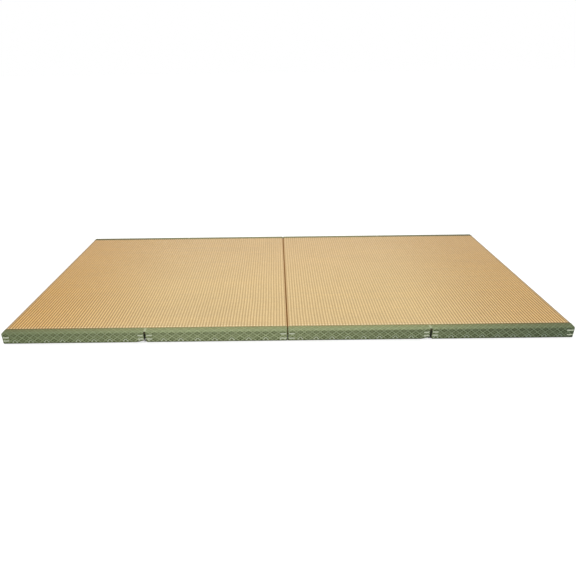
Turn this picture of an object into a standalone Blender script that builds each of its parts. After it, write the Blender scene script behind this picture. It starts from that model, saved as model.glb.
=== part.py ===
"""A folding tatami mat laid out flat: two rush-covered halves, each of two padded panels, with green
cloth binding along the front and back edges. Metres, +Z up, long side along X, front edge at -Y."""

import math

import bmesh
import bpy

# Sizes of the whole mat
LENGTH = 2.0
DEPTH = 1.0
HEIGHT = 0.044
CENTRE_GAP = 0.0004

# Woven ribs of the rush cover, running from front to back
RIBS_PER_HALF = 94
RIB_HEIGHT = 0.0009
RIB_CURVE = ((0.0, 0.0), (0.2, 0.74), (0.5, 1.0), (0.8, 0.74))

# Short ends of a half: the cover rolls over them, the bound edges are softer
END_ROLL = 0.005
END_STEPS = (0.0, 0.134, 0.5, 1.0)
ROLL_DROPS = (1.0, 0.5, 0.134, 0.0)
SOFT_DROPS = (0.0018, 0.0009, 0.0003, 0.0)

# The halves touch at a low lip and stand a little apart above it
INNER_SET_BACK = 0.0014
LIP_EDGE_Z = 0.0025
LIP_TOP_Z = 0.006
LIP_POINTS = 3

# Slit between the two panels of a half, open from below
SLIT_WIDTH = 0.005
COVER_OVER_SLIT = 0.0022
LONG_BEVEL = 0.031
LONG_BEVEL_RISE = 0.0085
SHORT_BEVEL = 0.005
SHORT_BEVEL_RISE = 0.005

# Binding strips, measured from the front or back plane of the mat
BINDING_WIDTH = 0.029
BINDING_THICK = 0.0015
BINDING_EDGE_Z = 0.0432
BINDING_EDGE_ROLL = 0.0005
SHOULDER_Z = 0.042
SHOULDER_RADIUS = 0.006
FOOT_RADIUS = 0.003
FIT_GAP = 0.00035
ARC_ANGLES = (0.0, 30.0, 60.0, 90.0)

# The cover where it comes out from under the binding
BEAD_DROP = 0.0006
BEAD_START = 0.001
BEAD_LENGTH = 0.0036

RUSH_COLOUR = (0.62, 0.42, 0.21, 1.0)
RUSH_ROUGHNESS = 0.62
BINDING_COLOUR = (0.175, 0.205, 0.118, 1.0)
BINDING_ROUGHNESS = 0.85


def clear_scene():
    for old in list(bpy.data.objects):
        bpy.data.objects.remove(old, do_unlink=True)


def cloth_material(name, colour, roughness):
    material = bpy.data.materials.new(name)
    material.use_nodes = True
    shader = material.node_tree.nodes["Principled BSDF"]
    shader.inputs["Base Color"].default_value = colour
    shader.inputs["Roughness"].default_value = roughness
    shader.inputs["Metallic"].default_value = 0.0
    return material


def arc_point(centre, radius, degrees):
    """A point on an arc of the edge profile: 0 degrees is straight up, 90 is straight out."""
    turn = math.radians(degrees)
    return (centre[0] - radius * math.sin(turn), centre[1] + radius * math.cos(turn))


def foot_point(centre, radius, degrees):
    """A point on the lower corner of the edge profile: 90 degrees is straight out, 0 is down."""
    turn = math.radians(degrees)
    return (centre[0] - radius * math.sin(turn), centre[1] - radius * math.cos(turn))


def half_span(side):
    """The upper ends of a half and the middle of its slit; side is -1 for left and 1 for right."""
    touch = side * CENTRE_GAP / 2.0
    inner = touch + side * INNER_SET_BACK
    outer = side * LENGTH / 2.0
    return min(inner, outer), max(inner, outer), (touch + outer) / 2.0


def end_stations(x0, x1):
    first = [x0 + END_ROLL * step for step in END_STEPS]
    last = [x1 - END_ROLL * step for step in reversed(END_STEPS)]
    return first, last


def softness(x, x0, x1):
    """How far a bound edge is drawn in close to the short end of its half."""
    inward = min(x - x0, x1 - x)
    for step, drop in zip(END_STEPS, SOFT_DROPS):
        if inward <= END_ROLL * step + 1e-7:
            return drop
    return 0.0


def lip_line(end, way):
    """The lip at the foot of an inner end, from the upright end outwards and down to the floor."""
    tip = end + way * INNER_SET_BACK
    return [(end, LIP_TOP_Z, False), (tip, LIP_EDGE_Z, False), (tip, 0.0, False)]


def underside_line(x0, x1, slit):
    """The lower line of a half seen from the front, as x, rise and whether it is up in the slit."""
    left = slit - SLIT_WIDTH / 2.0
    right = slit + SLIT_WIDTH / 2.0
    first, last = end_stations(x0, x1)
    line = [(x, 0.0, False) for x in first]
    line.append((left - LONG_BEVEL, 0.0, False))
    line.append((left, LONG_BEVEL_RISE, False))
    line.append((left, 0.0, True))
    line.append((right, 0.0, True))
    line.append((right, SHORT_BEVEL_RISE, False))
    line.append((right + SHORT_BEVEL, 0.0, False))
    line.extend((x, 0.0, False) for x in last)
    if slit > 0.0:
        return lip_line(x0, -1.0) + line
    return line + list(reversed(lip_line(x1, 1.0)))


def rib_line(x0, x1):
    """The upper line of the cover between its rolled ends, as x and share of the rib height."""
    start = x0 + END_ROLL
    pitch = (x1 - x0 - 2.0 * END_ROLL) / RIBS_PER_HALF
    line = []
    for rib in range(RIBS_PER_HALF):
        line.extend((start + (rib + along) * pitch, up) for along, up in RIB_CURVE)
    line.append((x1 - END_ROLL, 0.0))
    return line


def edge_rows():
    """Rows of the cover from the front plane inwards: distance in, top, underside, kind of row."""
    offset = BINDING_THICK + FIT_GAP
    shoulder = (SHOULDER_RADIUS, SHOULDER_Z - SHOULDER_RADIUS)
    rows = []
    for degrees in reversed(ARC_ANGLES):
        inward, top = arc_point(shoulder, SHOULDER_RADIUS - offset, degrees)
        rows.append([inward, top, offset, "plain"])
    rows[0][2] = FOOT_RADIUS
    seam = BINDING_WIDTH + FIT_GAP
    rows.append([seam, BINDING_EDGE_Z - offset, offset, "seam"])
    rows.append([seam + BEAD_START, HEIGHT - BEAD_DROP, 0.0, "ribbed"])
    rows.append([seam + BEAD_LENGTH, HEIGHT, 0.0, "ribbed"])
    return rows


def top_line(x0, x1, row):
    """The upper line of one row as x and z."""
    inward, top, under, kind = row
    first, last = end_stations(x0, x1)
    valley = top - RIB_HEIGHT if kind == "ribbed" else top
    drops = SOFT_DROPS
    if kind == "ribbed":
        drops = [END_ROLL * drop for drop in ROLL_DROPS]
    line = [(x, valley - drop) for x, drop in zip(first[:-1], drops)]
    if kind == "plain":
        line.append((first[-1], top))
        line.append((last[0], top))
    else:
        height = RIB_HEIGHT if kind == "ribbed" else 0.0
        line.extend((x, valley + up * height) for x, up in rib_line(x0, x1))
    line.extend((x, valley - drop) for x, drop in zip(last[1:], reversed(drops[:-1])))
    return line


def add_row(mesh, span, row, side_y):
    """Add the points of one row and return its upper and lower vertices, both from left to right."""
    x0, x1, slit = span
    inward, top, under, kind = row
    face = SHOULDER_RADIUS + BINDING_THICK
    share = max(0.0, 1.0 - inward / face)

    def place(x, z):
        y = inward + share * softness(x, x0, x1)
        return mesh.verts.new((x, side_y * (DEPTH / 2.0 - y), z))

    upper = [place(x, z) for x, z in top_line(x0, x1, row)]
    flat_top = top - RIB_HEIGHT if kind == "ribbed" else top
    lower = []
    for x, rise, in_slit in underside_line(x0, x1, slit):
        z = flat_top - COVER_OVER_SLIT if in_slit else under + rise
        lower.append(place(x, z))
    return upper, lower


def quad_band(mesh, line_a, line_b):
    for i in range(len(line_a) - 1):
        mesh.faces.new((line_a[i], line_a[i + 1], line_b[i + 1], line_b[i]))


def bridge_rows(mesh, row_a, row_b):
    """Close the skin between two neighbouring rows, also where only one of them is finely divided."""
    upper_a, lower_a = row_a
    upper_b, lower_b = row_b
    ends = len(END_STEPS)
    if len(upper_a) == len(upper_b):
        quad_band(mesh, upper_a, upper_b)
    else:
        quad_band(mesh, upper_a[:ends], upper_b[:ends])
        quad_band(mesh, upper_a[-ends:], upper_b[-ends:])
        plain, fine = (upper_a, upper_b) if len(upper_a) < len(upper_b) else (upper_b, upper_a)
        ring = plain[ends - 1:ends + 1] + list(reversed(fine[ends - 1:len(fine) - ends + 1]))
        mesh.faces.new(ring)
    quad_band(mesh, lower_a, lower_b)
    mesh.faces.new((upper_a[0], upper_b[0], lower_b[0], lower_a[0]))
    mesh.faces.new((upper_a[-1], upper_b[-1], lower_b[-1], lower_a[-1]))


def cap_row(mesh, row, lip_first):
    """Close the upright front or back of a half, leaving the slit open."""
    upper, lower = row
    if not lip_first:
        upper = list(reversed(upper))
        lower = list(reversed(lower))
    lip = lower[:LIP_POINTS]
    lower = lower[LIP_POINTS:]
    last = len(END_STEPS) - 1
    mesh.faces.new(lip + [lower[0]])
    mesh.faces.new((upper[0], upper[1], lower[1], lower[0], lip[0]))
    for i in range(1, last):
        mesh.faces.new((upper[i], upper[i + 1], lower[i + 1], lower[i]))
    for i in range(last):
        mesh.faces.new((upper[-1 - i], upper[-2 - i], lower[-2 - i], lower[-1 - i]))
    middle = lower[last:len(lower) - last]
    mesh.faces.new([upper[last], upper[last + 1]] + list(reversed(middle)))


def finish_object(name, mesh, material):
    bmesh.ops.recalc_face_normals(mesh, faces=mesh.faces)
    data = bpy.data.meshes.new(name)
    mesh.to_mesh(data)
    mesh.free()
    piece = bpy.data.objects.new(name, data)
    bpy.context.scene.collection.objects.link(piece)
    data.materials.append(material)
    return piece


def mat_half(name, side, material):
    """One half of the mat: two padded panels under one ribbed rush cover."""
    span = half_span(side)
    mesh = bmesh.new()
    edge = edge_rows()
    rows = [add_row(mesh, span, row, -1.0) for row in edge]
    rows.extend(add_row(mesh, span, row, 1.0) for row in reversed(edge))
    for row_a, row_b in zip(rows[:-1], rows[1:]):
        bridge_rows(mesh, row_a, row_b)
    cap_row(mesh, rows[0], side > 0.0)
    cap_row(mesh, rows[-1], side > 0.0)
    return finish_object(name, mesh, material)


def binding_section():
    """The cut across a binding strip: outer and inner line from the edge on the rush to the hem
    underneath, as distance in and height, and how many leading points lie above the slit."""
    shoulder = (SHOULDER_RADIUS, SHOULDER_Z - SHOULDER_RADIUS)
    foot = (FOOT_RADIUS, FOOT_RADIUS)
    thin = SHOULDER_RADIUS - BINDING_THICK
    thin_foot = FOOT_RADIUS - BINDING_THICK
    outer = [(BINDING_WIDTH, BINDING_EDGE_Z - BINDING_EDGE_ROLL)]
    outer.append((BINDING_WIDTH - BINDING_EDGE_ROLL, BINDING_EDGE_Z))
    outer.extend(arc_point(shoulder, SHOULDER_RADIUS, degrees) for degrees in ARC_ANGLES)
    outer.extend(foot_point(foot, FOOT_RADIUS, degrees) for degrees in (90.0, 45.0, 0.0))
    outer.append((BINDING_WIDTH, 0.0))
    under_edge = BINDING_EDGE_Z - BINDING_THICK
    inner = [(BINDING_WIDTH, under_edge), (BINDING_WIDTH - BINDING_EDGE_ROLL, under_edge)]
    inner.extend(arc_point(shoulder, thin, degrees) for degrees in ARC_ANGLES)
    inner.extend(foot_point(foot, thin_foot, degrees) for degrees in (90.0, 45.0, 0.0))
    inner.append((BINDING_WIDTH, BINDING_THICK))
    above_slit = len(ARC_ANGLES)
    return outer, inner, above_slit


def binding_stations(span):
    """Places along a strip where its shape changes: x, rise of the foot, on the slit or not."""
    x0, x1, slit = span
    left = slit - SLIT_WIDTH / 2.0
    right = slit + SLIT_WIDTH / 2.0
    first, last = end_stations(x0, x1)
    stations = [(x, 0.0) for x in first]
    stations.append((left - LONG_BEVEL, 0.0))
    stations.append((left, LONG_BEVEL_RISE))
    stations.append((right, SHORT_BEVEL_RISE))
    stations.append((right + SHORT_BEVEL, 0.0))
    stations.extend((x, 0.0) for x in last)
    return stations


def add_station(mesh, span, station, section, side_y):
    """Add the outer and inner points of a strip at one place along it."""
    x0, x1, slit = span
    x, rise = station
    soft = softness(x, x0, x1)
    face = SHOULDER_RADIUS + BINDING_THICK

    def place(inward, z):
        share = max(0.0, 1.0 - inward / face)
        on_top = z > SHOULDER_Z - SHOULDER_RADIUS - 1e-7
        height = z - soft if on_top else z + rise
        y = inward + share * soft
        return mesh.verts.new((x, side_y * (DEPTH / 2.0 - y), height))

    return [[place(inward, z) for inward, z in line] for line in section]


def ring_of(station):
    outer, inner = station
    return outer + list(reversed(inner))


def binding_strip(name, side, side_y, material):
    """A strip of binding along one edge of one half, cut at the slit on its upright side."""
    span = half_span(side)
    outer, inner, above_slit = binding_section()
    mesh = bmesh.new()
    stations = binding_stations(span)
    points = [add_station(mesh, span, place, (outer, inner), side_y) for place in stations]
    slit_at = len(END_STEPS) + 1
    for i in range(len(points) - 1):
        here, after = points[i], points[i + 1]
        if i == slit_at:
            here = [line[:above_slit] for line in here]
            after = [line[:above_slit] for line in after]
        ring_a, ring_b = ring_of(here), ring_of(after)
        quad_band(mesh, ring_a + ring_a[:1], ring_b + ring_b[:1])
    for i in (slit_at, slit_at + 1):
        outer_low = points[i][0][above_slit - 1:]
        inner_low = points[i][1][above_slit - 1:]
        quad_band(mesh, outer_low, inner_low)
    for i in (0, len(points) - 1):
        quad_band(mesh, points[i][0], points[i][1])
    return finish_object(name, mesh, material)


clear_scene()
for half, half_side in (("left", -1.0), ("right", 1.0)):
    rush = cloth_material("rush_" + half, RUSH_COLOUR, RUSH_ROUGHNESS)
    mat_half("mat_" + half, half_side, rush)
    for edge, edge_side in (("front", -1.0), ("back", 1.0)):
        where = edge + "_" + half
        cloth = cloth_material("cloth_" + where, BINDING_COLOUR, BINDING_ROUGHNESS)
        binding_strip("binding_" + where, half_side, edge_side, cloth)
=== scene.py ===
import math

import bmesh
import bpy
import numpy as np
from mathutils import Matrix, Vector


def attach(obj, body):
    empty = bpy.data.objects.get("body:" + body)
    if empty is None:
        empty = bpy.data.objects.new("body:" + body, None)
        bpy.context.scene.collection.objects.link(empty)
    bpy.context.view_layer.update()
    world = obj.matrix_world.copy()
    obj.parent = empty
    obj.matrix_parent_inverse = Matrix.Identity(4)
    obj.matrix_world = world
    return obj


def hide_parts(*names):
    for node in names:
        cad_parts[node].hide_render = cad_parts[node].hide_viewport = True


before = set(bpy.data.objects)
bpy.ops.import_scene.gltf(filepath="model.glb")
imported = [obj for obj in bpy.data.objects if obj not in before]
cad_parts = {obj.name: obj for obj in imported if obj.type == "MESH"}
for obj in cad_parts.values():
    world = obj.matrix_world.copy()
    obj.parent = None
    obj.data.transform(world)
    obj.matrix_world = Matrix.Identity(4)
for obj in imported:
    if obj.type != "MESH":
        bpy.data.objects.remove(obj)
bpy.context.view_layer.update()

# Sizes of the mat, the same as its solids have, in metres
LENGTH = 2.0
DEPTH = 1.0
HEIGHT = 0.044
CENTRE_GAP = 0.0004
RIBS_PER_HALF = 94
RIB_HEIGHT = 0.0009
END_ROLL = 0.005
END_SOFT = 0.0018
INNER_SET_BACK = 0.0014
LIP_EDGE_Z = 0.0025
LIP_TOP_Z = 0.006
SLIT_AT = (CENTRE_GAP / 2.0 + LENGTH / 2.0) / 2.0
COVER_OVER_SLIT = 0.0022
LONG_BEVEL = 0.031
LONG_BEVEL_RISE = 0.0085
SHORT_BEVEL = 0.005
SHORT_BEVEL_RISE = 0.005
BINDING_WIDTH = 0.029
BINDING_THICK = 0.0015
BINDING_EDGE_Z = 0.0432
SHOULDER_Z = 0.042
SHOULDER_RADIUS = 0.006
FOOT_RADIUS = 0.003
FIT_GAP = 0.00035

# The finer surface that is laid over the solids, with the slits drawn a little more open
SLIT_WIDTH = 0.0059
SWELL_TOP = 0.0003
SWELL_EDGE = 0.0022
BACK_CLOSER = 0.0010
FOOT_CLOSER_OVER = 0.0015
LONG_RISE_SHARE = 0.85
SHORT_RISE_SHARE = 0.6
CLOTH_THICK = 0.0013
STEM_WIDTH = 0.0013
RIB_POINTS = (0.0, 0.06, 0.15, 0.27, 0.4, 0.5, 0.6, 0.73, 0.85, 0.94)
ROLL_ANGLES = np.radians([0.0, 15.0, 30.0, 45.0, 60.0, 75.0])
INNER_ROWS = 34
STRIP_STEP = 0.004
TAB_DEPTH = 0.014
TAB_THICK = 0.0004
TAB_LOW_Z = 0.0015
OPEN_RUSH_IN = 0.0080
TAB_TOP_Z = 0.0405
MID_Z = 0.02
LOWEST_CLOTH = 0.00005

# How unevenly the rush and the cloth lie
COVER_WAVE = 0.00022
RIB_SWAY = 0.0010
RIB_SWELL = 0.10
RELIEF_FADE = 0.1
SWAY_FADE = 0.05
FACE_PUFF = 0.00028
TOP_WAVE = 0.00016
EDGE_SWAY = 0.00016
PUFF_FADE = 0.03
SLIT_CREASE = 0.00035
SLIT_CREASE_HALF = 0.0022
STITCH_PULL = 0.00022
STITCH_PULL_IN = 0.004
STITCH_PULL_HALF = 0.0025

# Sewing: a row of stitches along the binding's edge, and bars of several threads at the panel ends
EDGE_STITCH_PITCH = 0.0085
EDGE_STITCH_LENGTH = 0.0058
EDGE_STITCH_IN = 0.0042
EDGE_STITCH_SUNK = 0.0002
EDGE_THREAD = 0.00042
BAR_THREAD = 0.00062
BAR_THREADS = 5

# Paths of the threads: share of the stitch's length, and height above the cloth
EDGE_STITCH_PATH = ((0.0, -0.0006), (0.12, 0.0), (0.5, 0.00018), (0.88, 0.0), (1.0, -0.0006))
BAR_PATH = ((0.0, -0.0008), (0.06, 0.0002), (0.3, 0.0006), (0.7, 0.0006), (0.94, 0.0002), (1.0, -0.0008))

# The camera, fitted to the photograph's edges, seams and corners
CAMERA_AT = (-0.036, -1.958, 0.889)
PITCH_DEG = 25.12
YAW_DEG = -0.152
ROLL_DEG = -0.749
LENS_MM = 30.19
SHIFT_X = 0.0214

rng = np.random.default_rng(11)


def ripple(count, shortest, longest):
    """A smooth uneven line or sheet: a sum of waves with fixed random lengths and phases."""
    lengths = np.exp(rng.uniform(math.log(shortest), math.log(longest), count))
    turns = rng.uniform(-1.0, 1.0, count)
    phases = rng.uniform(0.0, 2.0 * math.pi, count)

    def at(along, across=0.0):
        total = 0.0
        for length, turn, phase in zip(lengths, turns, phases):
            total = total + np.sin(2.0 * math.pi * (along + turn * across) / length + phase)
        return total / math.sqrt(count)

    return at


def half_span(side):
    """The upper ends of a half and the middle of its slit; side is -1 for left and 1 for right."""
    touch = side * CENTRE_GAP / 2.0
    inner = touch + side * INNER_SET_BACK
    outer = side * LENGTH / 2.0
    return min(inner, outer), max(inner, outer), (touch + outer) / 2.0


def softness(x, x0, x1):
    """How far a bound edge is drawn in close to the short end of its half."""
    inward = np.minimum(x - x0, x1 - x)
    near = np.clip(1.0 - inward / END_ROLL, 0.0, 1.0)
    return END_SOFT * near ** 2.6


def make_object(name, verts, faces, uvs, material, sharp_deg=50.0):
    """A mesh object with one UV pair for each vertex of each face."""
    data = bpy.data.meshes.new(name)
    data.from_pydata([tuple(v) for v in verts], [], faces)
    layer = data.uv_layers.new(name="cloth")
    loop_verts = np.zeros(len(data.loops), np.int32)
    data.loops.foreach_get("vertex_index", loop_verts)
    layer.data.foreach_set("uv", np.asarray(uvs, np.float32)[loop_verts].ravel())
    data.materials.append(material)
    data.shade_smooth()
    data.set_sharp_from_angle(angle=math.radians(sharp_deg))
    data.validate()
    piece = bpy.data.objects.new(name, data)
    bpy.context.scene.collection.objects.link(piece)
    return piece


# Rush cover

def underside(x0, x1, slit):
    """The lower line from left to right: x, height, in the slit or not, and depth below the rolled end."""
    left = slit - SLIT_WIDTH / 2.0
    right = slit + SLIT_WIDTH / 2.0
    line = [(x0, 0.0, 0, 0), (left - LONG_BEVEL, 0.0, 0, 0), (left, LONG_BEVEL_RISE, 0, 0)]
    line += [(left, 0.0, 1, 0), (right, 0.0, 1, 0)]
    line += [(right, SHORT_BEVEL_RISE, 0, 0), (right + SHORT_BEVEL, 0.0, 0, 0), (x1, 0.0, 0, 0)]
    end, way = (x0, -1.0) if slit > 0.0 else (x1, 1.0)
    tip = end + way * INNER_SET_BACK
    lip = [(end, LIP_TOP_Z, 0, SWELL_TOP), (tip, LIP_EDGE_Z, 0, SWELL_EDGE), (tip, 0.0, 0, HEIGHT)]
    return lip + line if slit > 0.0 else line + lip[::-1]


def rush_rows():
    """Rows from the front inwards: distance in, crest level, rib share, roll share, underside."""
    offset = BINDING_THICK + FIT_GAP
    seam = BINDING_WIDTH + FIT_GAP
    rows = [(offset, SHOULDER_Z - SHOULDER_RADIUS, 0.0, 0.0, FOOT_RADIUS)]
    rows.append((0.0036, SHOULDER_Z - offset - 0.0010, 0.0, 0.0, offset))
    rows.append((SHOULDER_RADIUS, SHOULDER_Z - offset - 0.0002, 0.0, 0.0, offset))
    rows.append((seam, BINDING_EDGE_Z - offset, 0.15, 0.0, offset))
    rows.append((seam + 0.0003, BINDING_EDGE_Z - 0.0006, 0.7, 0.5, 0.0))
    rows.append((seam + 0.0009, HEIGHT - 0.0004, 1.15, 1.0, 0.0))
    rows.append((seam + 0.0020, HEIGHT + 0.0001, 1.25, 1.0, 0.0))
    rows.append((seam + 0.0040, HEIGHT, 1.05, 1.0, 0.0))
    rows.append((seam + OPEN_RUSH_IN, HEIGHT, 1.0, 1.0, 0.0))
    return rows


def cover_rows():
    """All rows from the front to the back, each with the side that it is measured from."""
    edge = rush_rows()
    inner_edge = edge[-1][0]
    rows = [(row, -1.0) for row in edge]
    for share in np.linspace(0.0, 1.0, INNER_ROWS)[1:-1]:
        inward = inner_edge + share * (DEPTH - 2.0 * inner_edge)
        rows.append(((inward, HEIGHT, 1.0, 1.0, 0.0), -1.0))
    return rows + [(row, 1.0) for row in reversed(edge)]


def rib_line(x0, pitch):
    """Points across a half's ribs: rib number, place within the rib, x and the rib's tallness."""
    rib = np.append(np.repeat(np.arange(RIBS_PER_HALF), len(RIB_POINTS)), RIBS_PER_HALF)
    local = np.append(np.tile(RIB_POINTS, RIBS_PER_HALF), 0.0)
    tallness = 1.0 + np.append(rng.normal(0.0, 0.03, RIBS_PER_HALF), 0.0)
    drift = np.concatenate([[0.0], rng.normal(0.0, 0.02, RIBS_PER_HALF - 1), [0.0, 0.0]])
    drift_here = drift[rib] * (1.0 - local) + drift[rib + 1] * local
    return rib, local, x0 + END_ROLL + (rib + local + drift_here) * pitch, tallness[rib]


def crest_line(row, y, across, open_share, wave):
    """The level between the ribs in one row, and the height at each point across the ribs."""
    rib, local, tallness = across
    _, top, ribs, roll, _ = row
    round_top = np.sin(math.pi * local) ** 0.62
    if ribs > 0.0 and roll < 1.0:
        return top - RIB_HEIGHT * ribs, top - RIB_HEIGHT * (1.0 - round_top) * ribs
    level = top - RIB_HEIGHT if ribs > 0.0 else top
    uneven = np.sin(rib * 1.7 + y * 31.0 + np.sin(rib * 0.9) * 3.0)
    swell = 1.0 + RIB_SWELL * open_share * uneven
    return level, level + RIB_HEIGHT * ribs * tallness * swell * round_top + wave


def ring_faces(rings, ring):
    """Faces of a tube made of closed rings, with both of its ends covered."""
    faces = []
    for row in range(rings - 1):
        a, b = row * ring, (row + 1) * ring
        for i in range(ring):
            j = (i + 1) % ring
            faces.append((a + i, a + j, b + j, b + i))
    last = (rings - 1) * ring
    faces.append(tuple(range(ring - 1, -1, -1)))
    faces.append(tuple(last + i for i in range(ring)))
    return faces


def rush_half(name, side, material):
    """One half's cover with its woven ribs, drawn over two panels and down at the short ends."""
    x0, x1, slit = half_span(side)
    pitch = (x1 - x0 - 2.0 * END_ROLL) / RIBS_PER_HALF
    rows = cover_rows()
    rib, local, rib_x, tallness = rib_line(x0, pitch)
    sag = ripple(9, 0.10, 0.7)
    sway = ripple(6, 0.25, 1.0)
    ends = np.clip(np.minimum(rib_x - x0, x1 - rib_x) / SWAY_FADE, 0.0, 1.0)
    out = END_ROLL * (1.0 - np.cos(ROLL_ANGLES))
    left_u = -(1.0 - ROLL_ANGLES / (math.pi / 2.0)) * END_ROLL * 1.5 / pitch
    right_u = RIBS_PER_HALF - left_u[::-1]
    all_u = np.concatenate([left_u, rib + local, right_u])
    lower_line = underside(x0, x1, slit)[::-1]
    open_from = BINDING_WIDTH + FIT_GAP + OPEN_RUSH_IN
    verts, uvs = [], []
    for row, sign in rows:
        inward, _, _, roll, under = row
        y_flat = sign * (DEPTH / 2.0 - inward)
        from_binding = min(inward - open_from, DEPTH - inward - open_from)
        open_share = min(1.0, max(0.0, from_binding / RELIEF_FADE))
        wave = COVER_WAVE * open_share * sag(rib_x, y_flat)
        shift = RIB_SWAY * open_share * sway(y_flat + rib_x * 0.2)
        level, z = crest_line(row, y_flat, (rib, local, tallness), open_share, wave)
        drop = END_SOFT + (END_ROLL - END_SOFT) * roll
        down = drop * (1.0 - np.sin(ROLL_ANGLES))
        all_x = np.concatenate([x0 + out, rib_x + shift * ends, x1 - out[::-1]])
        all_z = np.concatenate([level - down, z, level - down[::-1]])
        share = max(0.0, 1.0 - inward / (SHOULDER_RADIUS + BINDING_THICK))
        all_y = sign * (DEPTH / 2.0 - inward - share * softness(all_x, x0, x1))
        verts += zip(all_x, all_y, all_z)
        uvs += zip(all_u, all_y)
        swollen = sign > 0.0 or inward > BINDING_WIDTH + FIT_GAP
        for px, rise, in_slit, below in lower_line:
            pz = level - COVER_OVER_SLIT if in_slit else under + rise
            if below and swollen:
                pz = max(pz, level - drop - below)
            py = sign * (DEPTH / 2.0 - inward - share * float(softness(np.array(px), x0, x1)))
            verts.append((px, py, pz))
            fall = (level - END_ROLL - pz) / pitch
            if below:
                pu = (left_u[0] - fall) if side > 0.0 else (right_u[-1] + fall)
            elif side > 0.0:
                pu = right_u[-1] + fall + (x1 - px) / pitch
            else:
                pu = left_u[0] - fall - (px - x0) / pitch
            uvs.append((pu, py))
    faces = ring_faces(len(rows), len(verts) // len(rows))
    return make_object(name, verts, faces, uvs, material)


# Binding strips

def arc(centre, radius, degrees):
    turn = np.radians(degrees)
    return np.stack([centre[0] - radius * np.sin(turn), centre[1] + radius * np.cos(turn)], axis=1)


def binding_profile():
    """Outer and inner line of the cloth from the edge on the rush, round the side, to the hem below.
    Also the length along the outer line, and how many leading points lie above the slit."""
    roll = CLOTH_THICK / 2.0
    shoulder = (SHOULDER_RADIUS, SHOULDER_Z - SHOULDER_RADIUS)
    foot = (FOOT_RADIUS, FOOT_RADIUS)
    edge_centre = (BINDING_WIDTH - roll, BINDING_EDGE_Z - roll)
    tip = arc(edge_centre, roll, [-90.0, -60.0, -30.0, 0.0])
    flange = np.linspace((BINDING_WIDTH - roll, BINDING_EDGE_Z), (SHOULDER_RADIUS, SHOULDER_Z), 9)[1:-1]
    bend = np.linspace(0.0, 90.0, 10)
    over = arc(shoulder, SHOULDER_RADIUS, bend)
    face_z = np.linspace(SHOULDER_Z - SHOULDER_RADIUS, FOOT_RADIUS, 12)[1:-1]
    face = np.stack([np.zeros(len(face_z)), face_z], axis=1)
    low = np.linspace(90.0, 0.0, 5)
    turn = np.radians(low)
    heel = np.stack([foot[0] - FOOT_RADIUS * np.sin(turn), foot[1] - FOOT_RADIUS * np.cos(turn)], axis=1)
    hem = np.array([(BINDING_WIDTH - 0.008, 0.0), (BINDING_WIDTH, 0.0)])
    outer = np.concatenate([tip, flange, over, face, heel, hem])
    thin = SHOULDER_RADIUS - CLOTH_THICK
    tip_in = arc(edge_centre, roll, [-120.0, -140.0, -160.0, -180.0])
    flange_in = flange - np.array([0.0, CLOTH_THICK])
    over_in = arc(shoulder, thin, bend)
    face_in = face + np.array([CLOTH_THICK, 0.0])
    thin_foot = FOOT_RADIUS - CLOTH_THICK
    heel_in = np.stack([foot[0] - thin_foot * np.sin(turn), foot[1] - thin_foot * np.cos(turn)], axis=1)
    hem_in = hem + np.array([0.0, CLOTH_THICK])
    inner = np.concatenate([tip_in, flange_in, over_in, face_in, heel_in, hem_in])
    steps = np.linalg.norm(np.diff(outer, axis=0), axis=1)
    along = np.concatenate([[0.0], np.cumsum(steps)])
    foot_at = along[len(tip) + len(flange) + len(over) + len(face)]
    above = len(tip) + len(flange) + 3
    return outer, inner, foot_at - along, above


def strip_stations(x0, x1, slit):
    """Places along a strip, and the places in that list of the two sides of the slit."""
    left = slit - SLIT_WIDTH / 2.0
    right = slit + SLIT_WIDTH / 2.0
    near = END_ROLL * np.array([0.0, 0.05, 0.15, 0.3, 0.5, 0.75])
    first = np.arange(x0 + END_ROLL, left - LONG_BEVEL, STRIP_STEP)
    bevel = np.linspace(left - LONG_BEVEL, left, 12)
    notch = np.linspace(right, right + SHORT_BEVEL, 5)
    second = np.arange(right + SHORT_BEVEL + STRIP_STEP, x1 - END_ROLL, STRIP_STEP)
    first = first[first < left - LONG_BEVEL - 0.001]
    left_part = np.concatenate([x0 + near, first, bevel])
    right_part = np.concatenate([notch, second, x1 - near[::-1]])
    return np.concatenate([left_part, right_part]), len(left_part) - 1


def foot_rise(x, slit):
    """How far the lower edge of a panel is turned up towards the slit."""
    left = slit - SLIT_WIDTH / 2.0
    right = slit + SLIT_WIDTH / 2.0
    long_share = np.clip((x - left + LONG_BEVEL) / LONG_BEVEL, 0.0, 1.0) * (x <= left + 1e-6)
    short_share = np.clip((right + SHORT_BEVEL - x) / SHORT_BEVEL, 0.0, 1.0) * (x >= right - 1e-6)
    long_rise = LONG_RISE_SHARE * LONG_BEVEL_RISE * long_share ** 1.3
    return long_rise + SHORT_RISE_SHARE * SHORT_BEVEL_RISE * short_share


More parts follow.
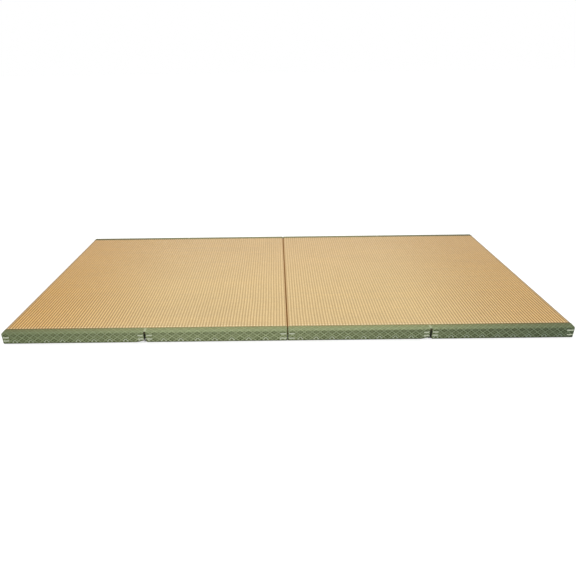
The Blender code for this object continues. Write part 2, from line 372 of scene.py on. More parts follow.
def cloth_lie(x0, x1, slit, side, sign):
    """A function that lays points of the strip's section on the mat, puffed and drawn in as cloth is."""
    face_wave = ripple(8, 0.03, 0.30)
    edge_wave = ripple(8, 0.02, 0.12)
    top_wave = ripple(7, 0.05, 0.4)
    to_seam = INNER_SET_BACK - (BACK_CLOSER if sign > 0.0 else 0.0)

    def lay(x, line):
        soft = float(softness(np.array(x), x0, x1))
        rise = float(foot_rise(np.array(x), slit))
        end_share = min(1.0, (x - x0) / PUFF_FADE, (x1 - x) / PUFF_FADE)
        crease = math.exp(-((x - slit) / SLIT_CREASE_HALF) ** 2)
        from_inner = x - x0 if side > 0.0 else x1 - x
        reach_in = -side * to_seam * max(0.0, 1.0 - from_inner / FOOT_CLOSER_OVER)
        stitch_pull = 0.5 + 0.5 * math.cos(2.0 * math.pi * (x - x0) / EDGE_STITCH_PITCH)
        points = []
        for inward, z in line:
            on_face = max(0.0, min(1.0, (SHOULDER_Z - z) / 0.004)) * (inward < 0.006)
            middle = math.sin(math.pi * max(0.0, min(1.0, z / 0.038))) * on_face
            puff = FACE_PUFF * end_share * middle * (1.0 + float(face_wave(x, z)))
            bend_in = soft * max(0.0, 1.0 - inward / 0.0075)
            on_top = max(0.0, min(1.0, (inward - 0.004) / 0.006)) * (z > MID_Z)
            lift = TOP_WAVE * on_top * end_share * float(top_wave(x, inward * 3.0))
            lift -= SLIT_CREASE * on_top * crease
            if abs(inward - BINDING_WIDTH + STITCH_PULL_IN) < STITCH_PULL_HALF and z > MID_Z:
                lift -= STITCH_PULL * stitch_pull
            near_edge = max(0.0, 1.0 - (BINDING_WIDTH - inward) / 0.004) * (z > MID_Z)
            sway = EDGE_SWAY * near_edge * float(edge_wave(x))
            y = sign * (DEPTH / 2.0 - inward - bend_in - sway + puff)
            if z > SHOULDER_Z - SHOULDER_RADIUS - 1e-7:
                new_z = z - soft + lift
            else:
                share = 1.0 - z / (SHOULDER_Z - SHOULDER_RADIUS)
                new_z = z + rise * share ** 0.5 if z > FOOT_RADIUS else z + rise
            low_share = min(1.0, max(0.0, (LIP_TOP_Z - z) / (LIP_TOP_Z - LIP_EDGE_Z)))
            points.append((x + reach_in * low_share, y, max(new_z, LOWEST_CLOTH)))
        return points

    return lay


def strip_faces(stations, count, slit_at, above):
    """Faces between the stations, and over the cloth's cut edges at its ends and inside the slit."""
    faces = []
    ring = 2 * count
    for i in range(stations - 1):
        a, b = i * ring, (i + 1) * ring
        reach = above if i == slit_at else count
        for k in range(reach - 1):
            faces.append((a + k, a + k + 1, b + k + 1, b + k))
            faces.append((a + count + k + 1, a + count + k, b + count + k, b + count + k + 1))
        faces.append((a, b, b + count, a + count))
        low = reach - 1
        faces.append((a + low, a + count + low, b + count + low, b + low))
    for i, first in ((slit_at, above - 1), (slit_at + 1, above - 1), (0, 0), (stations - 1, 0)):
        a = i * ring
        for k in range(first, count - 1):
            faces.append((a + k, a + k + 1, a + count + k + 1, a + count + k))
    return faces


def binding_strip(name, side, sign, material):
    """One strip of cloth; its inner end meets the other half's at the foot, and nearly so at the back."""
    x0, x1, slit = half_span(side)
    if sign > 0.0:
        x0, x1 = (x0 - BACK_CLOSER, x1) if side > 0.0 else (x0, x1 + BACK_CLOSER)
    outer, inner, along, above = binding_profile()
    stations, slit_at = strip_stations(x0, x1, slit)
    lay = cloth_lie(x0, x1, slit, side, sign)
    verts, uvs = [], []
    for x in stations:
        for line in (outer, inner):
            verts += lay(x, line)
            uvs += [(x, v) for v in along]
    faces = strip_faces(len(stations), len(outer), slit_at, above)
    for wall, inside in ((slit - SLIT_WIDTH / 2.0, 1.0), (slit + SLIT_WIDTH / 2.0, -1.0)):
        add_tab(verts, uvs, faces, wall, inside, sign, slit)
    piece = make_object(name, verts, faces, uvs, material, 60.0)
    fix_normals(piece)
    return piece


def add_tab(verts, uvs, faces, wall, inside, sign, slit):
    """The end of the cloth, turned in along a panel's side inside the slit."""
    thick = TAB_THICK
    plan_out = [(-0.0004, 0.0), (0.0002, 0.0001), (thick * 0.8, 0.0005), (thick, 0.0014), (thick, TAB_DEPTH)]
    plan_in = [(-0.0004, 0.0012), (0.0001, 0.0013), (0.0001, 0.0015), (0.0001, 0.0017), (0.0001, TAB_DEPTH)]
    rise = float(foot_rise(np.array(wall), slit))
    levels = np.linspace(TAB_LOW_Z + rise, TAB_TOP_Z, 6)
    start = len(verts)
    plan = plan_out + plan_in[::-1]
    for z in levels:
        for dx, inward in plan:
            verts.append((wall + inside * dx, sign * (DEPTH / 2.0 - inward), z))
            uvs.append((wall + inside * inward, z))
    size = len(plan)
    for i in range(len(levels) - 1):
        a, b = start + i * size, start + (i + 1) * size
        for k in range(size):
            j = (k + 1) % size
            faces.append((a + k, a + j, b + j, b + k))
    faces.append(tuple(start + k for k in range(size)))
    last = start + (len(levels) - 1) * size
    faces.append(tuple(last + k for k in range(size)))


def fix_normals(piece):
    mesh = bmesh.new()
    mesh.from_mesh(piece.data)
    bmesh.ops.recalc_face_normals(mesh, faces=mesh.faces)
    mesh.to_mesh(piece.data)
    mesh.free()


# Sewing

class Threads:
    """Short lengths of thread gathered into one mesh."""

    def __init__(self):
        self.verts, self.faces, self.uvs = [], [], []

    def add(self, points, radius, sides=6):
        points = [Vector(p) for p in points]
        start = len(self.verts)
        travelled = 0.0
        for i, point in enumerate(points):
            before = points[max(i - 1, 0)]
            after = points[min(i + 1, len(points) - 1)]
            ahead = (after - before).normalized()
            across = ahead.cross(Vector((0.13, 0.2, 0.97))).normalized()
            up = across.cross(ahead)
            slim = radius * (0.55 if i in (0, len(points) - 1) else 1.0)
            if i:
                travelled += (point - points[i - 1]).length
            for k in range(sides):
                turn = 2.0 * math.pi * k / sides
                self.verts.append(point + slim * (math.cos(turn) * across + math.sin(turn) * up))
                self.uvs.append((travelled, radius * turn))
        for i in range(len(points) - 1):
            a, b = start + i * sides, start + (i + 1) * sides
            for k in range(sides):
                j = (k + 1) % sides
                self.faces.append((a + k, b + k, b + j, a + j))
        self.faces.append(tuple(start + k for k in range(sides)))
        last = start + (len(points) - 1) * sides
        self.faces.append(tuple(last + k for k in range(sides - 1, -1, -1)))

    def build(self, name, material):
        piece = make_object(name, self.verts, self.faces, self.uvs, material, 70.0)
        fix_normals(piece)
        return piece


def edge_stitches(name, side, sign, material):
    """The row of stitches that holds the binding's edge down on the rush."""
    x0, x1, _ = half_span(side)
    threads = Threads()
    slope = (BINDING_EDGE_Z - SHOULDER_Z) / (BINDING_WIDTH - SHOULDER_RADIUS)
    top = BINDING_EDGE_Z - slope * EDGE_STITCH_IN
    number = int((x1 - x0 - 0.012) / EDGE_STITCH_PITCH)
    y = sign * (DEPTH / 2.0 - BINDING_WIDTH + EDGE_STITCH_IN)
    for i in range(number):
        start = x0 + 0.006 + i * EDGE_STITCH_PITCH + rng.normal(0.0, 0.0002)
        length = EDGE_STITCH_LENGTH + rng.normal(0.0, 0.0003)
        skew = rng.normal(0.0, 0.00015)
        points = []
        for share, height in EDGE_STITCH_PATH:
            z = top + height - EDGE_STITCH_SUNK
            points.append((start + share * length, y + skew * (share - 0.5), z))
        threads.add(points, EDGE_THREAD)
    return threads.build(name, material)


# Bar stitches at each panel end: end of panel, way into the panel, upper and lower height, length, slope
BAR_TABLE = (
    (-1.0, 1.0, 0.0255, 0.0130, 0.0215, 0.0),
    (-0.5026, -1.0, 0.0285, 0.0145, 0.0190, 0.0),
    (-0.4974, 1.0, 0.0285, 0.0145, 0.0200, 0.0),
    (-0.0014, -1.0, 0.0290, 0.0115, 0.0225, 0.0),
    (0.0014, 1.0, 0.0290, 0.0110, 0.0210, 0.0),
    (0.4974, -1.0, 0.0275, 0.0145, 0.0190, 0.10),
    (0.5026, 1.0, 0.0290, 0.0165, 0.0200, 0.0),
    (1.0, -1.0, 0.0300, 0.0125, 0.0235, 0.0),
)


def bar_stitches(name, sign, material):
    """Pairs of close bars of thread that hold the turned ends of the binding at each panel end."""
    threads = Threads()
    for end, way, high, low, length, slope in BAR_TABLE:
        for level in (high, low):
            reach = length * (1.0 + rng.normal(0.0, 0.03))
            for i in range(BAR_THREADS):
                lift = (i - (BAR_THREADS - 1) / 2.0) * BAR_THREAD * 1.25
                begin = 0.0028 + rng.normal(0.0, 0.0004)
                spread = 1.0 + rng.normal(0.0, 0.02)
                points = []
                for share, out in BAR_PATH:
                    along = begin + share * reach * spread
                    bow = 0.0006 * math.sin(math.pi * share) * (0.2 if i % 2 else -0.2)
                    x = end + way * along
                    z = level + lift + bow + slope * (reach - along)
                    points.append((x, sign * (DEPTH / 2.0 + out), z))
                threads.add(points, BAR_THREAD)
    return threads.build(name, material)


# Materials

class Tree:
    """Short ways to add the nodes of one material."""

    def __init__(self, name):
        self.material = bpy.data.materials.new(name)
        self.material.use_nodes = True
        self.tree = self.material.node_tree
        self.shader = self.tree.nodes["Principled BSDF"]

    def put(self, socket, value):
        if isinstance(value, bpy.types.NodeSocket):
            self.tree.links.new(value, socket)
        elif value is not None:
            socket.default_value = value

    def math(self, operation, a, b=None, c=None, clamp=False):
        node = self.tree.nodes.new("ShaderNodeMath")
        node.operation = operation
        node.use_clamp = clamp
        for socket, value in zip(node.inputs, (a, b, c)):
            self.put(socket, value)
        return node.outputs[0]

    def mix(self, share, a, b, blend="MIX", clamp=True):
        node = self.tree.nodes.new("ShaderNodeMix")
        node.data_type = "RGBA"
        node.blend_type = blend
        node.clamp_factor = clamp
        self.put(node.inputs[0], share)
        self.put(node.inputs[6], a)
        self.put(node.inputs[7], b)
        return node.outputs[2]

    def spread(self, value, low, high, to_low=0.0, to_high=1.0, smooth=True):
        node = self.tree.nodes.new("ShaderNodeMapRange")
        node.interpolation_type = "SMOOTHSTEP" if smooth else "LINEAR"
        for socket, item in zip(node.inputs, (value, low, high, to_low, to_high)):
            self.put(socket, item)
        return node.outputs[0]

    def band(self, value, start, full, fade, end):
        """One between full and fade, and nothing before start and after end."""
        rise = self.spread(value, start, full)
        return self.math("MULTIPLY", rise, self.spread(value, fade, end, 1.0, 0.0))

    def vector(self, x, y, z=0.0):
        node = self.tree.nodes.new("ShaderNodeCombineXYZ")
        for socket, value in zip(node.inputs, (x, y, z)):
            self.put(socket, value)
        return node.outputs[0]

    def noise(self, vector, scale, detail=2.0, rough=0.5):
        node = self.tree.nodes.new("ShaderNodeTexNoise")
        self.put(node.inputs["Vector"], vector)
        node.inputs["Scale"].default_value = scale
        node.inputs["Detail"].default_value = detail
        node.inputs["Roughness"].default_value = rough
        return node.outputs["Fac"]

    def white(self, vector):
        node = self.tree.nodes.new("ShaderNodeTexWhiteNoise")
        node.noise_dimensions = "3D"
        self.put(node.inputs["Vector"], vector)
        return node.outputs["Value"]

    def uv(self):
        node = self.tree.nodes.new("ShaderNodeUVMap")
        node.uv_map = "cloth"
        parts = self.tree.nodes.new("ShaderNodeSeparateXYZ")
        self.tree.links.new(node.outputs[0], parts.inputs[0])
        return parts.outputs[0], parts.outputs[1]

    def place(self):
        node = self.tree.nodes.new("ShaderNodeTexCoord")
        parts = self.tree.nodes.new("ShaderNodeSeparateXYZ")
        self.tree.links.new(node.outputs["Object"], parts.inputs[0])
        return parts.outputs[0], parts.outputs[1], parts.outputs[2]

    def bump(self, height, distance, strength=1.0):
        node = self.tree.nodes.new("ShaderNodeBump")
        node.inputs["Strength"].default_value = strength
        node.inputs["Distance"].default_value = distance
        self.put(node.inputs["Height"], height)
        self.tree.links.new(node.outputs[0], self.shader.inputs["Normal"])

    def colour(self, value):
        self.put(self.shader.inputs["Base Color"], value)

    def rough(self, value):
        self.put(self.shader.inputs["Roughness"], value)


def srgb(r, g, b):
    def line(v):
        v = v / 255.0
        return v / 12.92 if v <= 0.04045 else ((v + 0.055) / 1.055) ** 2.4
    return (line(r), line(g), line(b), 1.0)


RUSH_CREST = srgb(232, 207, 152)
# The valley colour is the warp cord's brown, darkened further by painted shade in the valleys between the
# ribs.
RUSH_VALLEY = srgb(178, 145, 96)
# Towards each end the rush is darker and warmer: partly painted shade, the light falling off towards the
# ends, partly a warmer rush colour.
RUSH_LEFT = (0.88, 0.72, 0.47, 1.0)
RUSH_RIGHT = (0.87, 0.76, 0.60, 1.0)
RUSH_FAR = (0.96, 0.93, 0.975, 1.0)
# Painted highlight on the rib ends just inside the binding, where they catch the light.
RUSH_BEAD_HIGHLIGHT = srgb(240, 226, 186)
# Painted shade along the binding's edge, where the rush tucks under it.
RUSH_TUCK_SHADE = srgb(122, 92, 46)
# Painted shade in the seam between the halves: brown on the rush, dark olive where it runs under the front
# binding.
RUSH_SEAM_SHADE = srgb(178, 124, 40)
RUSH_SHADE_UNDER_BINDING = srgb(64, 66, 36)
# Painted shade on the rush turned down at the short ends, greyish brown.
RUSH_END_SHADE = srgb(150, 128, 94)
SEAM_IN = BINDING_WIDTH + FIT_GAP
PRESSED_ROW = 0.0138
# Band of the painted highlight, inward from the seam: where it starts, is full, begins to fade and ends.
BEAD_HIGHLIGHT_BAND = (0.0008, 0.0020, 0.0055, 0.0085)
WHITE = (1.0, 1.0, 1.0, 1.0)


def rush_material():
    t = Tree("woven_rush")
    u, v = t.uv()
    x, y, z = t.place()
    far = t.math("ABSOLUTE", x)
    index = t.math("FLOOR", u)
    arch = t.math("SINE", t.math("MULTIPLY", t.math("FRACT", u), math.pi))
    crest = t.math("MULTIPLY", arch, arch)
    parity = t.math("FRACT", t.math("MULTIPLY", index, 0.5))
    stems = t.math("ADD", t.math("MULTIPLY", v, 1.0 / STEM_WIDTH), parity)
    stem = t.math("FLOOR", stems)
    stem_arch = t.math("SINE", t.math("MULTIPLY", t.math("FRACT", stems), math.pi))
    kernel = t.math("POWER", t.math("MAXIMUM", stem_arch, 0.0), 0.5)
    tint = t.white(t.vector(index, stem, 0.5))
    streak = t.noise(t.vector(t.math("MULTIPLY", x, 1.6), t.math("MULTIPLY", y, 60.0), 0.0), 1.0, 3.0, 0.6)
    cloud = t.noise(t.vector(x, y, 3.0), 5.0, 2.0)
    from_seam = t.math("SUBTRACT", DEPTH / 2.0 - SEAM_IN, t.math("ABSOLUTE", y))
    rows = t.math("COSINE", t.math("MULTIPLY", from_seam, 2.0 * math.pi / PRESSED_ROW))
    rows = t.math("MULTIPLY", rows, t.spread(from_seam, 0.02, 0.045, -0.05, 0.0))
    shade = t.math("MULTIPLY_ADD", t.math("SUBTRACT", tint, 0.5), 0.14, 1.0)
    shade = t.math("MULTIPLY_ADD", t.math("SUBTRACT", streak, 0.5), 0.20, shade)
    shade = t.math("MULTIPLY_ADD", t.math("SUBTRACT", cloud, 0.5), 0.08, shade)
    shade = t.math("ADD", shade, rows)
    # Painted shade: the ribs' valleys are drawn darker than the warp's own colour, more so towards both ends
    # and nearer the front edge.
    sharper = t.math("MULTIPLY", t.spread(far, 0.40, 0.90, 0.0, 0.84), t.spread(y, -0.35, 0.05, 1.0, 0.0))
    contrast = t.math("ADD", sharper, t.spread(y, -0.3, 0.5, 0.69, 0.47))
    weave = t.math("MULTIPLY_ADD", t.math("SUBTRACT", crest, 0.5), contrast, 0.5)
    base = t.mix(weave, RUSH_VALLEY, RUSH_CREST, clamp=False)
    # Painted highlight on the crests of the rib ends just inside the binding.
    bead_highlight = t.band(from_seam, *BEAD_HIGHLIGHT_BAND)
    bead_highlight = t.math("MULTIPLY", bead_highlight, t.spread(crest, 0.2, 0.9, 0.1, 0.62))
    # Painted shade in a thin line where the rush meets the binding, wider at the back.
    by_binding = t.spread(from_seam, 0.0004, 0.0020, 1.0, 0.0)
    tuck_shade = t.math("MULTIPLY", by_binding, t.spread(far, 0.45, 1.0, 0.05, 0.6))
    at_back = t.math("MULTIPLY", t.spread(from_seam, 0.003, 0.010, 0.65, 0.0), t.spread(y, 0.3, 0.4))
    tuck_shade = t.math("MAXIMUM", tuck_shade, at_back)
    # Darker and warmer towards each end: partly painted shade of the light falling off, partly a warmer rush
    # colour.
    ends = t.mix(t.spread(x, -1.05, -0.35, 1.0, 0.0), WHITE, RUSH_LEFT)
    ends = t.mix(t.spread(x, 0.40, 1.0), ends, RUSH_RIGHT)
    ends = t.mix(t.spread(y, -0.3, 0.5), ends, t.mix(1.0, t.mix(0.35, ends, WHITE), RUSH_FAR, "MULTIPLY"))
    base = t.mix(1.0, base, ends, "MULTIPLY")
    base = t.mix(bead_highlight, base, t.mix(1.0, RUSH_BEAD_HIGHLIGHT, t.mix(0.7, ends, WHITE), "MULTIPLY"))
    base = t.mix(tuck_shade, base, t.mix(1.0, RUSH_TUCK_SHADE, ends, "MULTIPLY"))
    # Painted shade on the turned-down short ends.
    base = t.mix(t.spread(far, 0.9860, 0.9925, 0.0, 0.85), base, RUSH_END_SHADE)
    # Painted shade in the seam between the two halves.
    bare_from = SEAM_IN - DEPTH / 2.0
    seam_shade = t.mix(t.spread(y, bare_from - 0.001, bare_from), RUSH_SHADE_UNDER_BINDING, RUSH_SEAM_SHADE)
    base = t.mix(t.spread(far, 0.0018, 0.0034, 0.95, 0.0), base, seam_shade)
    # Painted shade: the rush darkens on the walls inside each slit, below the top of the cover.
    slit_off = t.math("ABSOLUTE", t.math("SUBTRACT", far, SLIT_AT))
    by_slit = t.spread(slit_off, SLIT_WIDTH / 2.0 + 0.0002, SLIT_WIDTH / 2.0 + 0.0007, 1.0, 0.0)
    in_slit = t.math("MULTIPLY", by_slit, t.spread(z, 0.0408, 0.0412, 0.84, 0.0))
    shade = t.math("MULTIPLY", shade, t.math("SUBTRACT", 1.0, in_slit))
    base = t.mix(1.0, base, t.vector(shade, shade, shade), "MULTIPLY")
    # Painted shade in the grooves between the stems, drawn in the valley colour.
    between = t.math("MULTIPLY", t.math("SUBTRACT", 1.0, kernel), 0.40)
    t.colour(t.mix(between, base, t.mix(1.0, base, RUSH_VALLEY, "MULTIPLY")))
    t.rough(t.spread(streak, 0.2, 0.8, 0.50, 0.68))
    height = t.math("MULTIPLY", kernel, t.math("MULTIPLY_ADD", crest, 0.65, 0.35))
    t.bump(height, 0.00035, 0.9)
    t.shader.inputs["Specular IOR Level"].default_value = 0.3
    t.shader.inputs["Sheen Weight"].default_value = 0.05
    return t.material


CLOTH_DARK = srgb(102, 110, 73)
CLOTH_LINE = srgb(159, 169, 129)
CLOTH_PALE = srgb(204, 211, 184)
# Painted shade along the binding's edge under the rush.
CLOTH_EDGE_SHADE = srgb(118, 104, 62)
# End and back tints of the cloth: painted shade, darker towards both ends as the light falls off, and darker
# on the back strips.
CLOTH_LEFT = (0.66, 0.70, 0.66, 1.0)
CLOTH_RIGHT = (0.42, 0.48, 0.50, 1.0)
CLOTH_TOP_LEFT = (0.55, 0.57, 0.53, 1.0)
CLOTH_TOP_RIGHT = (0.50, 0.53, 0.53, 1.0)
CLOTH_BY_SEAM = (1.07, 1.0, 0.90, 1.0)
CLOTH_BACK = (0.80, 0.74, 0.72, 1.0)
LATTICE_HIGH = 0.022
DARK_ROW_AT = 0.0315

# The peaked marks of each panel: place of one of them and their distance apart
MARKS = ((-0.8460, 0.0555), (-0.4346, 0.0596), (0.0443, 0.0555), (0.6268, 0.0542))
MARK_HALF = 0.0085
MARK_HIGH = 0.0120
MARK_FOOT = 0.0005
SHOULDER_V = 0.0424

# Bands up the binding, from its foot: where each starts, is full, begins to fade and ends. The fold band is
# painted shade under the shoulder, the shoulder band a painted highlight on the rounded shoulder.
MARK_BAND = (0.0010, 0.0020, 0.014, 0.017)
FOLD_SHADE_BAND = (0.0235, 0.0265, 0.0335, 0.0360)
SHOULDER_HIGHLIGHT_BAND = (0.0350, 0.0365, 0.0420, 0.0460)


def count_marks(t, u, x):
    """Place along the strip counted in peaked marks, which lie differently on each panel."""
    panel_steps = [t.math("GREATER_THAN", x, place) for place in (-SLIT_AT, 0.0, SLIT_AT)]

    def by_panel(values):
        total = values[0]
        for step, before, after in zip(panel_steps, values, values[1:]):
            total = t.math("MULTIPLY_ADD", step, after - before, total)
        return total

    from_mark = t.math("SUBTRACT", u, by_panel([place for place, _ in MARKS]))
    return t.math("DIVIDE", from_mark, by_panel([apart for _, apart in MARKS]))


def lattice_lines(t, marked, v):
    """The woven diamonds: strong slanting lines, and fine ones halfway between them."""
    across = t.math("MULTIPLY_ADD", marked, 2.0, 0.5)
    up = t.math("MULTIPLY", t.math("SUBTRACT", v, DARK_ROW_AT), 1.0 / LATTICE_HIGH)
    one = t.math("ADD", across, up)
    two = t.math("SUBTRACT", across, up)

    def line_at(value, width, soft):
        away = t.math("ABSOLUTE", t.math("SUBTRACT", t.math("FRACT", t.math("ADD", value, 0.5)), 0.5))
        return t.spread(away, width, width + soft, 1.0, 0.0)

    main_lines = t.math("MAXIMUM", line_at(one, 0.05, 0.09), line_at(two, 0.05, 0.09))
    half_one = t.math("MULTIPLY", one, 2.0)
    half_two = t.math("MULTIPLY", two, 2.0)
    fine_lines = t.math("MAXIMUM", line_at(half_one, 0.07, 0.14), line_at(half_two, 0.07, 0.14))
    return t.math("MAXIMUM", main_lines, t.math("MULTIPLY", fine_lines, 0.52))


def peaked_marks(t, marked, v):
    """Outline and inside of the small peaked marks near the strip's foot."""
    turn = t.math("FRACT", t.math("ADD", marked, 0.5))
    beside = t.math("MULTIPLY", t.math("ABSOLUTE", t.math("SUBTRACT", turn, 0.5)), MARKS[0][1] / MARK_HALF)
    over = t.math("MULTIPLY", t.math("SUBTRACT", v, MARK_FOOT), 1.0 / MARK_HIGH)
    roof = t.math("ADD", beside, t.math("MULTIPLY", over, over))
    edge = t.spread(t.math("ABSOLUTE", t.math("SUBTRACT", roof, 0.95)), 0.12, 0.30, 1.0, 0.0)
    core = t.spread(roof, 0.35, 0.70, 0.9, 0.0)
    in_band = t.band(v, *MARK_BAND)
    return t.math("MULTIPLY", edge, in_band), t.math("MULTIPLY", core, in_band)


def cloth_painted_shade(t, x, y, v):
    """Painted shade on the cloth by its place: darker towards both ends, most at the right, tinted apart on
    the upright side and on top, darker on the back strips, and a little warmer on top by the seam.
    """
    face_ends = t.mix(t.spread(x, -1.0, -0.4, 1.0, 0.0, False), WHITE, CLOTH_LEFT)
    face_ends = t.mix(t.spread(x, 0.0, 1.0, 0.0, 1.0, False), face_ends, CLOTH_RIGHT)
    top_ends = t.mix(t.spread(x, -1.0, -0.42, 1.0, 0.0, False), WHITE, CLOTH_TOP_LEFT)
    top_ends = t.mix(t.spread(x, 0.3, 1.05), top_ends, CLOTH_TOP_RIGHT)
    by_seam = t.mix(1.0, top_ends, CLOTH_BY_SEAM, "MULTIPLY")
    top_ends = t.mix(t.spread(v, SHOULDER_V, 0.056), top_ends, by_seam)
    ends = t.mix(t.spread(v, 0.034, 0.038), face_ends, top_ends)
    return t.mix(t.spread(y, 0.0, 0.1), ends, t.mix(1.0, ends, CLOTH_BACK, "MULTIPLY"))


def binding_material():
    t = Tree("binding_weave")
    u, v = t.uv()
    x, y, z = t.place()
    marked = count_marks(t, u, x)
    lines = lattice_lines(t, marked, v)
    marks, mark_cores = peaked_marks(t, marked, v)
    fine = t.noise(t.vector(t.math("MULTIPLY", u, 700.0), t.math("MULTIPLY", v, 400.0), 0.0), 1.0, 2.0)
    cloud = t.noise(t.vector(x, t.math("ADD", y, z), z), 14.0, 3.0)
    worn = t.noise(t.vector(x, t.math("ADD", y, z), 5.0), 45.0, 2.0)
    on_top = t.spread(v, SHOULDER_V - 0.010, SHOULDER_V - 0.003)
    strength = t.math("MULTIPLY_ADD", on_top, -0.65, 1.25)
    strength = t.math("MULTIPLY", strength, t.spread(worn, 0.35, 0.65, 0.45, 1.0))
    strength = t.math("MULTIPLY", strength, t.spread(x, 0.2, 0.8, 1.0, 1.25))
    strength = t.math("MULTIPLY", strength, t.spread(v, 0.010, 0.018, 1.2, 0.9))
    lift = t.math("MULTIPLY_ADD", t.math("SUBTRACT", lines, 0.5), strength, 0.5)
    ground = t.mix(lift, CLOTH_DARK, CLOTH_LINE, clamp=False)
    ground = t.mix(mark_cores, ground, CLOTH_DARK)
    ground = t.mix(t.math("MULTIPLY", marks, t.spread(worn, 0.35, 0.6, 0.6, 1.0)), ground, CLOTH_PALE)
    slit_off = t.math("ABSOLUTE", t.math("SUBTRACT", t.math("ABSOLUTE", x), SLIT_AT))
    # Painted highlight: a pale crease on top of the strip beside each slit, where the folded cloth catches
    # the light.
    crease = t.spread(slit_off, 0.0020, 0.0060, 1.0, 0.0)
    crease = t.math("MULTIPLY", crease, t.spread(v, SHOULDER_V - 0.003, SHOULDER_V))
    ground = t.mix(t.math("MULTIPLY", crease, 0.42), ground, CLOTH_PALE)
    # Painted shade along the binding's edge by the rush, stronger towards the ends.
    edge_shade = t.spread(t.math("ABSOLUTE", x), 0.4, 1.0, 0.35, 0.8)
    edge_shade = t.math("MULTIPLY", edge_shade, t.spread(v, 0.0615, 0.0645))
    ground = t.mix(edge_shade, ground, CLOTH_EDGE_SHADE)
    # Painted shade by place along the mat, on the side, on top and at the back.
    ground = t.mix(1.0, ground, cloth_painted_shade(t, x, y, v), "MULTIPLY")
    # Painted shade in a band under the shoulder, and a painted highlight on the rounded shoulder.
    tone = t.math("MULTIPLY_ADD", t.band(v, *FOLD_SHADE_BAND), -0.12, 1.0)
    tone = t.math("MULTIPLY_ADD", t.band(v, *SHOULDER_HIGHLIGHT_BAND), 0.12, tone)
    # Painted shade: darkest in a thin line at the foot, and a little darker low on the side.
    tone = t.math("MULTIPLY", tone, t.spread(v, -0.002, 0.0025, 0.32, 1.0))
    tone = t.math("MULTIPLY", tone, t.spread(v, 0.002, 0.022, 0.87, 1.0))
    # Painted shade on the cloth turned into each slit.
    by_slit = t.spread(slit_off, SLIT_WIDTH / 2.0 + 0.0003, SLIT_WIDTH / 2.0 + 0.0012, 1.0, 0.0)
    slit_wall_shade = t.math("MULTIPLY", by_slit, t.spread(z, 0.0405, 0.0412, 1.0, 0.0))
    tone = t.math("MULTIPLY", tone, t.math("MULTIPLY_ADD", slit_wall_shade, -0.80, 1.0))
    shade = t.math("MULTIPLY_ADD", fine, 0.20, 0.84)
    shade = t.math("MULTIPLY_ADD", cloud, 0.12, shade)
    shade = t.math("MULTIPLY", shade, tone)
    t.colour(t.mix(1.0, ground, t.vector(shade, shade, shade), "MULTIPLY"))
    t.rough(t.spread(fine, 0.3, 0.7, 0.78, 0.92))
    thread_u = t.math("SINE", t.math("MULTIPLY", u, 2.0 * math.pi / 0.0011))
    twill = t.math("SINE", t.math("MULTIPLY", t.math("ADD", u, v), 2.0 * math.pi / 0.0014))
    weave = t.math("ADD", t.math("MULTIPLY", thread_u, 0.35), t.math("MULTIPLY", twill, 0.5))
    weave = t.math("ADD", weave, t.math("MULTIPLY", t.math("MAXIMUM", lines, marks), 1.2))
    t.bump(weave, 0.00012, 0.8)
    t.shader.inputs["Specular IOR Level"].default_value = 0.2
    t.shader.inputs["Sheen Weight"].default_value = 0.05
    return t.material


def thread_material(name, colour, dark):
    t = Tree(name)
    u, v = t.uv()
    twist = t.math("SINE", t.math("MULTIPLY", t.math("ADD", u, v), 2.0 * math.pi / 0.0011))
    t.colour(t.mix(t.spread(twist, -1.0, 1.0, 0.35, 0.0), colour, dark))
    t.rough(t.spread(twist, -1.0, 1.0, 0.65, 0.5))
    t.bump(twist, 0.00008, 0.7)
    return t.material


FLOOR_REACH = 40.0
FLOOR_GLOW = 0.66
FLOOR_GLOW_UNDER_SLIT = 0.06
DARK_FLOOR_HALF = 0.0060
DARK_FLOOR_REACH = 0.4930


def floor_material():
    """A pale floor with an even faint glow, which the closed-in floor under the slits lacks."""
    t = Tree("pale_floor")
    x, y, z = t.place()
    grain = t.noise(t.vector(x, y, z), 30.0, 4.0)
    t.colour(t.mix(grain, srgb(176, 176, 176), srgb(180, 180, 180)))
    t.shader.inputs["Roughness"].default_value = 0.9
    # Painted shade: the floor under the slits keeps only a weak glow, so it stays as dark as the shade
    # inside them.
    slit_off = t.math("ABSOLUTE", t.math("SUBTRACT", t.math("ABSOLUTE", x), SLIT_AT))
    under = t.math("LESS_THAN", t.math("ABSOLUTE", y), DARK_FLOOR_REACH)
    under = t.math("MULTIPLY", under, t.math("LESS_THAN", slit_off, DARK_FLOOR_HALF))
    glow = t.math("MULTIPLY_ADD", under, FLOOR_GLOW_UNDER_SLIT - FLOOR_GLOW, FLOOR_GLOW)
    t.shader.inputs["Emission Color"].default_value = WHITE
    t.put(t.shader.inputs["Emission Strength"], glow)
    return t.material


# Stage, lights and camera

DOME_LEVEL = 0.52
DOME_WHITE_BELOW = 0.14
DOME_EVEN_ABOVE = 0.35
TOP_LIGHT = 1.72
TOP_LIGHT_SPREAD_DEG = 50.0
TOP_LIGHT_LEAN_DEG = -6.0
LAMP_WATTS = 2.2
LAMP_AT = (0.0, 0.05, 1.15)
LAMP_SIZE = (0.8, 0.4)


def make_stage():
    data = bpy.data.meshes.new("floor")
    corners = [(x * FLOOR_REACH, y * FLOOR_REACH, 0.0) for x, y in ((-1, -1), (1, -1), (1, 1), (-1, 1))]
    data.from_pydata(corners, [], [(0, 1, 2, 3)])
    data.materials.append(floor_material())
    floor = bpy.data.objects.new("floor", data)
    bpy.context.scene.collection.objects.link(floor)


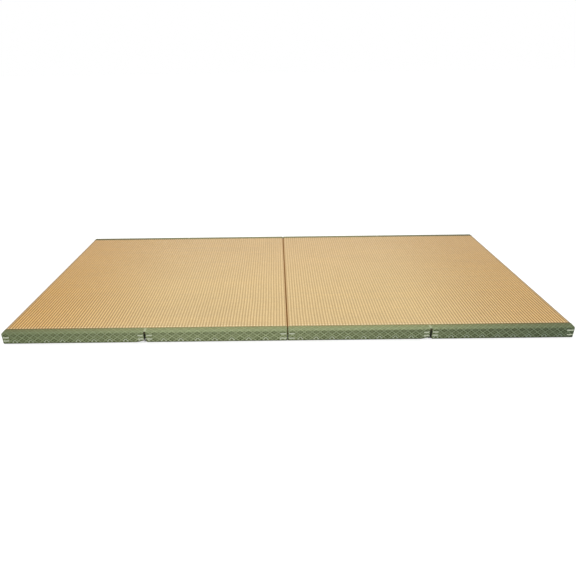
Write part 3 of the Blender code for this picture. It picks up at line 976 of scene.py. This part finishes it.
def make_dome():
    """An even pale sky that is white at the horizon."""
    world = bpy.data.worlds.new("studio")
    bpy.context.scene.world = world
    world.use_nodes = True
    tree = world.node_tree
    direction = tree.nodes.new("ShaderNodeTexCoord")
    parts = tree.nodes.new("ShaderNodeSeparateXYZ")
    level = tree.nodes.new("ShaderNodeMapRange")
    tree.links.new(direction.outputs["Generated"], parts.inputs[0])
    tree.links.new(parts.outputs[2], level.inputs["Value"])
    level.inputs["From Min"].default_value = DOME_WHITE_BELOW
    level.inputs["From Max"].default_value = DOME_EVEN_ABOVE
    level.inputs["To Min"].default_value = 1.0
    level.inputs["To Max"].default_value = DOME_LEVEL
    background = tree.nodes["Background"]
    background.inputs["Color"].default_value = WHITE
    tree.links.new(level.outputs[0], background.inputs["Strength"])


def make_top_light():
    """A very broad light from overhead."""
    data = bpy.data.lights.new("top_light", "SUN")
    data.energy = TOP_LIGHT
    data.angle = math.radians(TOP_LIGHT_SPREAD_DEG)
    light = bpy.data.objects.new("top_light", data)
    bpy.context.scene.collection.objects.link(light)
    light.rotation_euler = (math.radians(TOP_LIGHT_LEAN_DEG), 0.0, 0.0)


def make_lamp():
    """A weak lamp over the middle, which makes it a little brighter than the ends."""
    data = bpy.data.lights.new("overhead", "AREA")
    data.shape = "RECTANGLE"
    data.size, data.size_y = LAMP_SIZE
    data.energy = LAMP_WATTS
    lamp = bpy.data.objects.new("overhead", data)
    bpy.context.scene.collection.objects.link(lamp)
    lamp.location = LAMP_AT
    lamp.rotation_euler = (-Vector(LAMP_AT)).to_track_quat("-Z", "Y").to_euler()


def make_camera():
    pitch, yaw, roll = (math.radians(a) for a in (PITCH_DEG, YAW_DEG, ROLL_DEG))
    right = Vector((math.cos(yaw), -math.sin(yaw), 0.0))
    ahead = Vector((math.sin(yaw) * math.cos(pitch), math.cos(yaw) * math.cos(pitch), -math.sin(pitch)))
    up = right.cross(ahead)
    turned_right = math.cos(roll) * right + math.sin(roll) * up
    turned_up = -math.sin(roll) * right + math.cos(roll) * up
    data = bpy.data.cameras.new("camera")
    data.sensor_width = 36.0
    data.lens = LENS_MM
    data.shift_x = SHIFT_X
    camera = bpy.data.objects.new("camera", data)
    bpy.context.scene.collection.objects.link(camera)
    axes = Matrix((turned_right, turned_up, -ahead)).transposed()
    camera.matrix_world = Matrix.Translation(CAMERA_AT) @ axes.to_4x4()
    bpy.context.scene.camera = camera


# Putting it together

def build_mat():
    rush = rush_material()
    cloth = binding_material()
    bar_thread = thread_material("bar_thread", srgb(208, 214, 190), srgb(150, 160, 130))
    edge_thread = thread_material("edge_thread", srgb(104, 108, 70), srgb(74, 78, 46))
    for half, side in (("left", -1.0), ("right", 1.0)):
        cover = rush_half("rush_" + half, side, rush)
        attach(cover, "root")
        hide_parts("mat_" + half)
        for edge, sign in (("front", -1.0), ("back", 1.0)):
            where = edge + "_" + half
            strip = binding_strip("cloth_" + where, side, sign, cloth)
            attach(strip, "root")
            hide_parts("binding_" + where)
            stitches = edge_stitches("edge_stitches_" + where, side, sign, edge_thread)
            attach(stitches, "root")
    for edge, sign in (("front", -1.0), ("back", 1.0)):
        bars = bar_stitches("bar_stitches_" + edge, sign, bar_thread)
        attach(bars, "root")


build_mat()
make_stage()
make_dome()
make_top_light()
make_lamp()
make_camera()
bpy.context.scene.view_settings.view_transform = "Standard"
